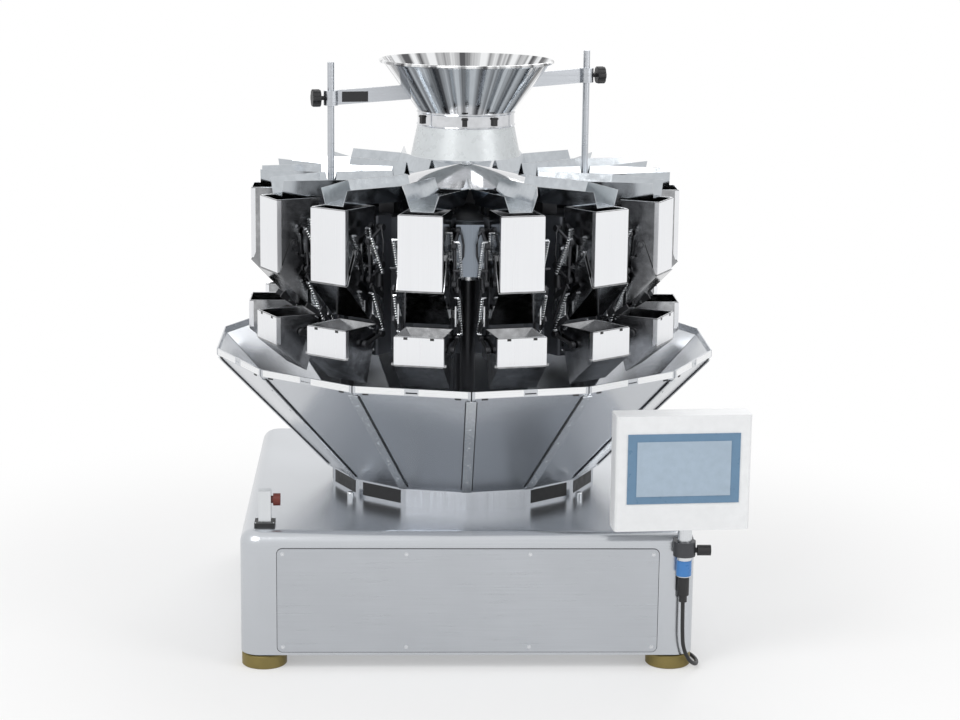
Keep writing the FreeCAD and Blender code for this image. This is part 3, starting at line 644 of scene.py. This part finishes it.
@dataclass
class Hoppers:
    """Ring of feed and weigh hoppers with gates, springs, levers and pushers."""

    outer: float = 0.506
    inner: float = 0.402
    half: float = 0.049
    top: float = 1.033
    low: float = 0.864
    pivot: Vector = field(default_factory=lambda: Vector((0, -0.465, 0.933)))
    weigh_outer: float = 0.512
    weigh_half: float = 0.05525
    weigh_top: float = 0.764
    weigh_low: float = 0.698
    long_springs: tuple[tuple[tuple[float, float, float], ...], ...] = (
        ((0.0745, -0.447, 0.968), (0.0725, -0.404, 0.882)), ((0.0735, -0.440, 0.842), (0.0725, -0.402, 0.752)))
    links: tuple[tuple[tuple[float, float, float], tuple[float, float, float], float, int, float], ...] = (
        ((0.0768, -0.444, 0.860), (0.0768, -0.404, 0.778), 0.0028, 10, 0.0),
        ((0.0600, -0.3985, 0.850), (0.0600, -0.3985, 0.880), 0.0080, 14, 0.001),
        ((0.0640, -0.452, 0.905), (0.0790, -0.452, 0.905), 0.0030, 10, 0.0))
    lead: tuple[tuple[float, float, float], ...] = (
        (0.050, -0.391, 0.986), (0.062, -0.398, 0.990), (0.073, -0.405, 0.978), (0.078, -0.408, 0.955),
        (0.077, -0.406, 0.930), (0.070, -0.400, 0.912), (0.058, -0.394, 0.905), (0.048, -0.391, 0.904))

    def dress(self, palette: Palette) -> None:
        """Put finishes on the hoppers, gates, hooks and drive boxes."""
        # Hoppers and gates take the darker copy of the hopper steel: painted shade.
        palette.dress(PAINTED_SHADE_SIDE, "feed_hoppers", "weigh_hoppers", "weigh_gates")
        palette.dress(PAINTED_SHADE_SIDE, *["feed_gate_%02d" % (i + 1) for i in range(HEADS)])
        palette.dress(DARK, "hopper_hangers")
        palette.dress(DRIVE, "drive_units")

    def build(self, palette: Palette) -> None:
        """Add front plates, rims, springs, levers, pushers and gate clips.

        Args:
            palette: Material store.
        """
        names = ("hopper_front_plates", "hopper_rims", "hopper_springs", "gate_pushers", "hopper_levers",
                 "hopper_top_caps", "hopper_fittings", "hopper_linkage", "plate_notches")
        shapers = tuple(Shaper() for _ in names)
        plates, rims, springs, pushers, levers, hooks, fittings, linkage, notches = shapers
        for i in range(HEADS):
            turn = head_place(i)
            self.plate(plates, turn, self.half, self.outer, self.low, self.top)
            self.plate(plates, turn, self.weigh_half, self.weigh_outer, self.weigh_low, self.weigh_top)
            self.rim(rims, turn, self.half, self.outer, self.inner, self.top)
            self.rim(rims, turn, self.weigh_half, self.weigh_outer, self.inner, self.weigh_top)
            self.springs(springs, turn)
            self.pushers(pushers, turn)
            self.levers(levers, turn)
            self.hooks(hooks, turn)
            self.fittings(fittings, turn)
            self.linkage(linkage, turn)
            self.notches(notches, turn)
            self.gate_clips(turn, i, palette)
        # The front plates and rims take the lit copy of the hopper steel: painted light.
        finishes = (PAINTED_LIGHT_HOPPER, PAINTED_LIGHT_HOPPER, TRIM, DARK, DARK, BLACK, TRIM, DARK, BLACK)
        for name, finish, shaper in zip(names, finishes, shapers):
            shaper.build(name, finish, palette, "frame")

    def plate(self, shaper: Shaper, turn: Matrix, half: float, outer: float, low: float, high: float) -> None:
        """Add the bright plate on a hopper's outer wall, with its folded side edges; its brightness is painted light
        on the same steel as the shaded walls.

        Args:
            shaper: Mesh to add to.
            turn: Head frame.
            half: Half the hopper's width.
            outer: Radius of its outer wall.
            low: Height of the plate's foot.
            high: Height of its top.
        """
        height, middle = high - low - 0.004, (high + low) / 2
        shaper.block(turn @ Matrix.Translation((0, -outer - 0.0005, middle)), (2 * half + 0.002, 0.0012, height))
        for side in (-1, 1):
            at = turn @ Matrix.Translation((side * (half + 0.0008), -outer + 0.0045, middle))
            shaper.block(at, (0.0009, 0.010, height))

    def levers(self, shaper: Shaper, turn: Matrix) -> None:
        """Add the crank, tie rod and stop that work the gates, on both sides of each hopper.

        Args:
            shaper: Mesh to add to.
            turn: Head frame.
        """
        for side in (-1, 1):
            x = side * (self.half + 0.014)
            for (y0, z0), (y1, z1) in (((-0.394, 0.985), (-0.440, 0.958)), ((-0.394, 0.900), (-0.436, 0.872)),
                                       ((-0.394, 0.742), (-0.452, 0.726))):
                shaper.rod(turn @ Vector((x, y0, z0)), turn @ Vector((x, y1, z1)), 0.0042, 10, 0.001)
                for y, z in ((y0, z0), (y1, z1)):
                    shaper.rod(turn @ Vector((x - 0.005, y, z)), turn @ Vector((x + 0.005, y, z)), 0.0085, 16, 0.001)
            shaper.rod(turn @ Vector((x, -0.440, 0.958)), turn @ Vector((x, -0.436, 0.872)), 0.0030, 8)
            shaper.rod(turn @ Vector((x, -0.394, 0.900)), turn @ Vector((x, -0.394, 0.742)), 0.0036, 8)
            for z in (0.985, 0.900, 0.742):
                shaper.rod(turn @ Vector((x - side * 0.014, -0.389, z)), turn @ Vector((x, -0.394, z)), 0.006, 12)

    def fittings(self, shaper: Shaper, turn: Matrix) -> None:
        """Add the bright brackets, long springs and pins beside each hopper.

        Args:
            shaper: Mesh to add to.
            turn: Head frame.
        """
        for side in (-1, 1):
            for z in (0.928, 0.798):
                shaper.block(turn @ Matrix.Translation((side * 0.0540, -0.3945, z)), (0.024, 0.011, 0.020))
                shaper.block(turn @ Matrix.Translation((side * 0.0655, -0.4130, z)), (0.0030, 0.034, 0.046))
                for lift in (-0.014, 0.014):
                    at = turn @ Vector((side * 0.0665, -0.416, z + lift))
                    shaper.screw(at, turn.to_3x3() @ Vector((side, 0, 0)), 0.0034, 0.0040)
            for a, b in self.long_springs:
                low, high = (turn @ Vector((side * x, y, z)) for x, y, z in (a, b))
                shaper.coil(low, high, 0.0040, 0.0009, 15)
                for x, y, z in (a, b):
                    shaper.rod(turn @ Vector((side * 0.0640, y, z)), turn @ Vector((side * (x + 0.002), y, z)), 0.0022, 8)

    def linkage(self, shaper: Shaper, turn: Matrix) -> None:
        """Add the dark cranks, rods, buffers and looped leads beside each hopper.

        Args:
            shaper: Mesh to add to.
            turn: Head frame.
        """
        for side in (-1, 1):
            for z in (0.846, 0.776):
                at = turn @ Matrix.Translation((side * 0.0730, -0.424, z)) @ Matrix.Rotation(-0.6, 4, "X")
                shaper.block(at, (0.004, 0.052, 0.012))
            for low, high, radius, sides, bevel in self.links:
                a, b = (turn @ Vector((side * x, y, z)) for x, y, z in (low, high))
                shaper.rod(a, b, radius, sides, bevel)
            shaper.tube([turn @ Vector((side * x, y, z)) for x, y, z in self.lead], 0.0024, 8)

    def notches(self, shaper: Shaper, turn: Matrix) -> None:
        """Add the two dark notches in the top edge of a weigh hopper's plate.

        Args:
            shaper: Mesh to add to.
            turn: Head frame.
        """
        for side in (-1, 1):
            at = turn @ Matrix.Translation((side * 0.030, -self.weigh_outer - 0.0009, self.weigh_top - 0.0045))
            shaper.block(at, (0.009, 0.0010, 0.005))

    def rim(self, shaper: Shaper, turn: Matrix, half: float, outer: float, inner: float, z: float) -> None:
        """Add the folded edge round a hopper's mouth.

        Args:
            shaper: Mesh to add to.
            turn: Head frame.
            half: Half the hopper's width.
            outer: Radius of its outer wall.
            inner: Radius of its inner wall.
            z: Height of the mouth.
        """
        inset = 0.0012
        plan = ((-half + inset, -outer + inset), (half - inset, -outer + inset), (half - inset, -inner),
                (-half + inset, -inner))
        corners = [Vector((x, y, z - inset)) for x, y in plan]
        shaper.tube([turn @ c for c in corners], 0.0016, 8, closed=True)

    def springs(self, shaper: Shaper, turn: Matrix) -> None:
        """Add the spring on each side wall.

        Args:
            shaper: Mesh to add to.
            turn: Head frame.
        """
        for side in (-1, 1):
            x = side * (self.half + 0.0045)
            a = Vector((x, -0.426, 0.985))
            b = Vector((x, -0.420, 0.925))
            shaper.coil(turn @ a, turn @ b, 0.0032, 0.0007, 11)
            for p in (a, b):
                inner, outer = Vector((side * self.half, p.y, p.z)), Vector((x + side * 0.002, p.y, p.z))
                shaper.rod(turn @ inner, turn @ outer, 0.0016, 8)

    def pushers(self, shaper: Shaper, turn: Matrix) -> None:
        """Add the pusher that opens each gate, with its roller.

        Args:
            shaper: Mesh to add to.
            turn: Head frame.
        """
        for z, reach in ((0.850, 0.408), (0.718, 0.398)):
            for x in (-0.018, 0.018):
                shaper.rod(turn @ Vector((x, -0.386, z)), turn @ Vector((x, -reach, z - 0.004)), 0.004, 10)
            left, right = (turn @ Vector((x, -reach, z - 0.004)) for x in (-0.026, 0.026))
            shaper.rod(left, right, 0.0065, 14, 0.001)

    def hooks(self, shaper: Shaper, turn: Matrix) -> None:
        """Add the dark cap at the back of each hopper's mouth.

        Args:
            shaper: Mesh to add to.
            turn: Head frame.
        """
        for side in (-1, 1):
            at = turn @ Matrix.Translation((side * 0.032, -0.3945, 1.002))
            shaper.block(at, (0.012, 0.017, 0.008))

    def gate_clips(self, turn: Matrix, index: int, palette: Palette) -> None:
        """Add the ring that keeps each gate arm on its pin.

        Args:
            turn: Head frame.
            index: Head number from 0.
            palette: Material store.
        """
        shaper = Shaper()
        for side in (-1, 1):
            x = side * (self.half + 0.005)
            circle = [turn @ (self.pivot + Vector((x + side * 0.0008, 0.0078 * math.cos(a), 0.0078 * math.sin(a))))
                      for a in (2 * math.pi * k / 20 for k in range(20))]
            shaper.tube(circle, 0.0009, 6, closed=True)
        shaper.build("gate_rings_%02d" % (index + 1), DARK, palette, "feed_gate_%02d" % (index + 1))


@dataclass
class Body:
    """Central body, columns, drive boxes, feeders and dispersion cone."""

    drive_out: float = 0.388
    column_at: float = 0.290
    cone_z: float = 1.089
    columns: tuple[int, ...] = (0, 4, 7, 10)

    def dress(self, palette: Palette) -> None:
        """Put finishes on the body's nodes."""
        palette.dress(DARK, "support_columns", "feeder_vibrators", "cone_vibrator")
        palette.dress(DRIVE, "main_body")
        palette.dress(BRUSHED, "funnel_posts")
        palette.dress(HEAD, "column_heads")
        palette.dress(TRIM, "column_flanges")
        palette.dress(PAN, "feeder_pans")
        palette.dress(MIRROR, "dispersion_cone")

    def build(self, palette: Palette) -> None:
        """Add the drive boxes' screws, leaf springs, flange bolts and the cone's nut.

        Args:
            palette: Material store.
        """
        screws, leaves, bolts, nut = Shaper(), Shaper(), Shaper(), Shaper()
        for i in range(HEADS):
            turn = head_place(i)
            out = turn.to_3x3() @ Vector((0, -1, 0))
            for x in (-0.033, 0.033):
                for z in (0.70, 0.78, 0.88, 0.935):
                    screws.screw(turn @ Vector((x, -self.drive_out, z)), out, 0.0034, 0.0028)
            for y in (-0.236, -0.279):
                for side in (-1, 1):
                    leaves.block(turn @ Matrix.Translation((side * 0.0245, y, 1.0185)) @ Matrix.Rotation(0.25, 4, "X"),
                                 (0.004, 0.010, 0.030))
        for k in self.columns:
            turn = seam_place(k)
            for n in range(6):
                a = 2 * math.pi * n / 6 + 0.5
                at = Vector((0.030 * math.cos(a), -self.column_at + 0.030 * math.sin(a), 0.862))
                bolts.screw(turn @ at, Vector((0, 0, -1)), 0.0045, 0.005)
        nut.screw(Vector((AXIS_X, 0, self.cone_z - 0.003)), Vector((0, 0, 1)), 0.011, 0.010)
        screws.build("drive_screws", TRIM, palette, "frame")
        leaves.build("leaf_springs", TRIM, palette, "frame")
        bolts.build("flange_bolts", TRIM, palette, "frame")
        nut.build("cone_nut", TRIM, palette, "frame")


@dataclass
class Infeed:
    """Infeed funnel, collar and skirt on two clamped arms."""

    collar: float = 0.115
    collar_low: float = 1.179
    collar_high: float = 1.214
    grip_seam: int = 11
    grip_at: Vector = field(default_factory=lambda: Vector((0.0034, -0.269, 1.2495)))

    def dress(self, palette: Palette) -> None:
        """Put finishes on the infeed's nodes."""
        bpy.context.view_layer.update()
        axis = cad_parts["infeed_funnel"].matrix_world.inverted() @ Vector((AXIS_X, 0, 0))
        # The funnel's streaked colour is painted reflection.
        palette.dress(PaintedReflectionStreaks("painted_reflection_steel", Tone.PAINTED_REFLECTION_DARK, Tone.PAINTED_REFLECTION_LIGHT, tuple(axis)), "infeed_funnel")
        palette.dress(MIRROR, "infeed_collar")
        palette.dress(SKIRT, "infeed_skirt")
        palette.dress(BRUSHED, "funnel_arms")
        palette.dress(BLACK, "clamp_knobs")

    def build(self, palette: Palette) -> None:
        """Add the clips, the bands and the dark grip on one arm.

        Args:
            palette: Material store.
        """
        clips, bands, grip = Shaper(), Shaper(), Shaper()
        middle = (self.collar_low + self.collar_high) / 2
        for deg in (-3, 33, 117, 177, 213, 297):
            turn = Matrix.Translation((AXIS_X, 0, 0)) @ Matrix.Rotation(math.radians(deg), 4, "Z")
            clips.block(turn @ Matrix.Translation((0, -self.collar - 0.0030, middle)), (0.012, 0.006, 0.020))
            clips.rod(turn @ Vector((-0.008, -self.collar - 0.005, middle + 0.007)),
                      turn @ Vector((0.008, -self.collar - 0.005, middle + 0.007)), 0.0022, 8)
        for z in (self.collar_low + 0.003, self.collar_high - 0.003):
            circle = [Vector((AXIS_X + (self.collar + 0.0006) * math.cos(a), (self.collar + 0.0006) * math.sin(a), z))
                      for a in (2 * math.pi * k / 72 for k in range(72))]
            bands.tube(circle, 0.0018, 8, closed=True)
        turn = seam_place(self.grip_seam)
        for side in (-1, 1):
            at = Matrix.Translation((side * self.grip_at.x, self.grip_at.y, self.grip_at.z))
            grip.block(turn @ at, (0.0010, 0.062, 0.024))
        clips.build("collar_clips", BLACK, palette, "infeed")
        bands.build("collar_bands", MIRROR, palette, "infeed")
        grip.build("arm_grip", BLACK, palette, "infeed", smooth=False)


@dataclass
class Screen:
    """Touch screen on its swivelling tube, with its cable."""

    at: Vector = field(default_factory=lambda: Vector((0.482 + AXIS_X, -0.533, 0.0)))
    yaw: float = math.radians(5)
    off: float = -0.014
    depth: float = 0.064
    low: float = 0.343
    high: float = 0.604
    knob: float = 0.541
    knob_z: float = 0.288
    cord_radius: float = 0.0045
    cord_points: tuple[tuple[float, float, float], ...] = (
        (0.482, -0.533, 0.1677), (0.4823, -0.534, 0.134), (0.4829, -0.5352, 0.097), (0.485, -0.5364, 0.060),
        (0.5012, -0.5286, 0.026), (0.5205, -0.5008, 0.008), (0.5269, -0.4635, 0.006), (0.5192, -0.4285, 0.0065),
        (0.5008, -0.3995, 0.009), (0.4766, -0.3817, 0.014), (0.448, -0.376, 0.019), (0.419, -0.376, 0.019))

    def dress(self, palette: Palette) -> None:
        """Put finishes on the screen's nodes."""
        palette.dress(CASE, "screen_housing")
        palette.dress(BEZEL, "screen_bezel")
        palette.dress(GLASS, "screen_glass")
        palette.dress(TRIM, "screen_pivot_tube")
        palette.dress(BLACK, "cable_gland", "cable_inlet", "bracket_knob", "screen_cable")
        palette.dress(DARK, "screen_bracket")

    def build(self, palette: Palette) -> None:
        """Add the case's screws and vents, the knob's cap and the blue band.

        Args:
            palette: Material store.
        """
        turn = Matrix.Translation(self.at) @ Matrix.Rotation(self.yaw, 4, "Z")
        screws, vents, band, cap = Shaper(), Shaper(), Shaper(), Shaper()
        back = self.depth / 2
        for x in (-0.135, 0.135):
            for z in (self.low + 0.015, self.high - 0.015):
                screws.screw(turn @ Vector((x + self.off, back, z)), turn.to_3x3() @ Vector((0, 1, 0)), 0.0035, 0.0025)
        for n in range(9):
            vents.block(turn @ Matrix.Translation((self.off, back, 0.50 + n * 0.008)), (0.120, 0.0016, 0.003))
        band.rod(self.at + Vector((0, 0, 0.2295)), self.at + Vector((0, 0, 0.266)), 0.0172, 28, 0.001)
        knob = Vector((self.knob + AXIS_X, self.at.y, self.knob_z))
        cap.rod(knob - Vector((0.003, 0, 0)), knob, 0.0105, 24, 0.001)
        screws.build("case_screws", TRIM, palette, "screen")
        vents.build("case_vents", BLACK, palette, "screen", smooth=False)
        band.build("tube_band", BLUE, palette, "screen")
        cap.build("knob_cap", VIOLET, palette, "frame")
        self.cable(palette)

    def cable(self, palette: Palette) -> None:
        """Add the cable as a smooth curve through the route's control points.

        Args:
            palette: Material store.
        """
        data = bpy.data.curves.new("screen_cable_cover", "CURVE")
        data.dimensions = "3D"
        data.bevel_depth = self.cord_radius
        data.bevel_resolution = 4
        line = data.splines.new("NURBS")
        line.points.add(len(self.cord_points) - 1)
        for point, (x, y, z) in zip(line.points, self.cord_points):
            point.co = (x + AXIS_X, y, z, 1.0)
        line.order_u = 3
        line.use_endpoint_u = True
        line.resolution_u = 12
        data.materials.append(palette.get(BLACK))
        cable = bpy.data.objects.new("screen_cable_cover", data)
        bpy.context.scene.collection.objects.link(cable)
        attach(cable, "frame")
        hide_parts("screen_cable")
        x, y, z = self.cord_points[0]
        log.info("piece screen_cable_cover, on frame")


@dataclass
class StopSwitch:
    """Stop switch on the base's front corner."""

    at: Vector = field(default_factory=lambda: Vector((-0.458 + AXIS_X, -0.438, 0.320)))

    def dress(self, palette: Palette) -> None:
        """Put finishes on the switch's nodes."""
        palette.dress(BLACK, "stop_switch_foot")
        palette.dress(TRIM, "stop_switch_body")
        palette.dress(BUTTON, "stop_button")

    def build(self, palette: Palette) -> None:
        """Add the screws at the switch's foot.

        Args:
            palette: Material store.
        """
        shaper = Shaper()
        for x in (-0.0200, 0.0200):
            for y in (-0.0200, 0.0200):
                shaper.rod(self.at + Vector((x, y, 0.008)), self.at + Vector((x, y, 0.0095)), 0.0016, 10)
        shaper.build("switch_screws", TRIM, palette, "frame")


@dataclass
class Studio:
    """Floor, light and camera."""

    camera_at: Vector = field(default_factory=lambda: Vector((AXIS_X - 0.1683, -5.5366, 1.7710)))
    pitch: float = 0.2068
    yaw: float = -0.0376
    roll: float = 0.0115
    lens: float = 87.585

    def build(self) -> None:
        """Make the floor, lamps, world and camera."""
        self.floor()
        self.lamp("key", (-2.6, -3.2, 3.6), 2.4, 95.0)
        self.lamp("fill", (3.2, -2.6, 2.4), 2.2, 45.0)
        self.lamp("back", (0.6, 3.0, 3.4), 2.4, 60.0)
        self.world()
        self.camera()

    def floor(self) -> None:
        """Make the pale floor."""
        mesh = bpy.data.meshes.new("floor")
        mesh.from_pydata([(-30, -30, 0), (30, -30, 0), (30, 30, 0), (-30, 30, 0)], [], [(0, 1, 2, 3)])
        floor = bpy.data.objects.new("floor", mesh)
        bpy.context.scene.collection.objects.link(floor)
        mat = bpy.data.materials.new("pale_floor")
        mat.use_nodes = True
        tree = mat.node_tree
        shader = tree.nodes["Principled BSDF"]
        shader.inputs["Roughness"].default_value = 0.9
        shader.inputs["Specular IOR Level"].default_value = 0.1
        noise = tree.nodes.new("ShaderNodeTexNoise")
        noise.inputs["Scale"].default_value = 3.0
        ramp = tree.nodes.new("ShaderNodeValToRGB")
        ramp.color_ramp.elements[0].color = (0.88, 0.88, 0.88, 1)
        ramp.color_ramp.elements[1].color = (0.92, 0.92, 0.92, 1)
        tree.links.new(noise.outputs["Fac"], ramp.inputs["Fac"])
        tree.links.new(ramp.outputs["Color"], shader.inputs["Base Color"])
        self.whiten(tree, shader)
        mesh.materials.append(mat)

    def whiten(self, tree: bpy.types.NodeTree, shader: bpy.types.Node) -> None:
        """Fade the floor to plain white away from the machine, for what is seen or reflected only.

        Args:
            tree: The floor's node tree.
            shader: Its shader.
        """
        place = tree.nodes.new("ShaderNodeTexCoord")
        far = tree.nodes.new("ShaderNodeVectorMath")
        far.operation = "LENGTH"
        tree.links.new(place.outputs["Object"], far.inputs[0])
        fade = tree.nodes.new("ShaderNodeMapRange")
        fade.interpolation_type = "SMOOTHSTEP"
        for name, value in (("From Min", 0.75), ("From Max", 1.9), ("To Min", 0.35), ("To Max", 1.0)):
            fade.inputs[name].default_value = value
        tree.links.new(far.outputs["Value"], fade.inputs["Value"])
        path = tree.nodes.new("ShaderNodeLightPath")
        seen = path.outputs["Is Camera Ray"]
        for name in ("Is Glossy Ray", "Is Transmission Ray"):
            both = tree.nodes.new("ShaderNodeMath")
            both.operation = "ADD"
            both.use_clamp = True
            tree.links.new(seen, both.inputs[0])
            tree.links.new(path.outputs[name], both.inputs[1])
            seen = both.outputs["Value"]
        share = tree.nodes.new("ShaderNodeMath")
        share.operation = "MULTIPLY"
        tree.links.new(fade.outputs["Result"], share.inputs[0])
        tree.links.new(seen, share.inputs[1])
        white = tree.nodes.new("ShaderNodeEmission")
        mix = tree.nodes.new("ShaderNodeMixShader")
        tree.links.new(share.outputs["Value"], mix.inputs["Fac"])
        tree.links.new(shader.outputs["BSDF"], mix.inputs[1])
        tree.links.new(white.outputs["Emission"], mix.inputs[2])
        tree.links.new(mix.outputs["Shader"], tree.nodes["Material Output"].inputs["Surface"])

    def lamp(self, name: str, at: tuple[float, float, float], size: float, power: float) -> None:
        """Make one soft lamp aimed at the machine.

        Args:
            name: Lamp's name.
            at: Its place.
            size: Side of the lamp.
            power: Power in watts.
        """
        data = bpy.data.lights.new(name, "AREA")
        data.size = size
        data.energy = power
        lamp = bpy.data.objects.new(name, data)
        bpy.context.scene.collection.objects.link(lamp)
        lamp.location = at
        lamp.rotation_euler = (Vector((0, 0, 0.7)) - Vector(at)).to_track_quat("-Z", "Y").to_euler()

    def world(self) -> None:
        """Make the world: white where it's seen or reflected, softer as light."""
        world = bpy.data.worlds.new("studio")
        bpy.context.scene.world = world
        world.use_nodes = True
        tree = world.node_tree
        back = tree.nodes["Background"]
        path = tree.nodes.new("ShaderNodeLightPath")
        seen = tree.nodes.new("ShaderNodeMath")
        seen.operation = "ADD"
        seen.use_clamp = True
        both = tree.nodes.new("ShaderNodeMath")
        both.operation = "ADD"
        both.use_clamp = True
        tree.links.new(path.outputs["Is Camera Ray"], seen.inputs[0])
        tree.links.new(path.outputs["Is Glossy Ray"], seen.inputs[1])
        tree.links.new(seen.outputs["Value"], both.inputs[0])
        tree.links.new(path.outputs["Is Transmission Ray"], both.inputs[1])
        level = tree.nodes.new("ShaderNodeMapRange")
        level.inputs["To Min"].default_value = 0.55
        level.inputs["To Max"].default_value = 1.0
        tree.links.new(both.outputs["Value"], level.inputs["Value"])
        back.inputs["Color"].default_value = (1, 1, 1, 1)
        tree.links.new(level.outputs["Result"], back.inputs["Strength"])

    def camera(self) -> None:
        """Make the camera."""
        data = bpy.data.cameras.new("camera")
        data.lens = self.lens
        data.sensor_width = 36.0
        cam = bpy.data.objects.new("camera", data)
        bpy.context.scene.collection.objects.link(cam)
        cam.location = self.camera_at
        cam.rotation_mode = "XYZ"
        turn = Matrix.Rotation(self.yaw, 3, "Z") @ Matrix.Rotation(math.pi / 2 - self.pitch, 3, "X")
        cam.rotation_euler = (turn @ Matrix.Rotation(self.roll, 3, "Z")).to_euler()
        bpy.context.scene.camera = cam


def main() -> None:
    """Build and dress every sub-assembly in order."""
    logging.basicConfig(level=logging.INFO, format="%(message)s")
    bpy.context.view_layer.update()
    bpy.context.scene.view_settings.view_transform = "Standard"
    palette = Palette()
    for part in (Base(), Chute(), Body(), Hoppers(), Infeed(), Screen(), StopSwitch()):
        part.dress(palette)
        part.build(palette)
        log.info("sub-assembly %s done", type(part).__name__)
    Studio().build()


if __name__ == "__main__":
    main()
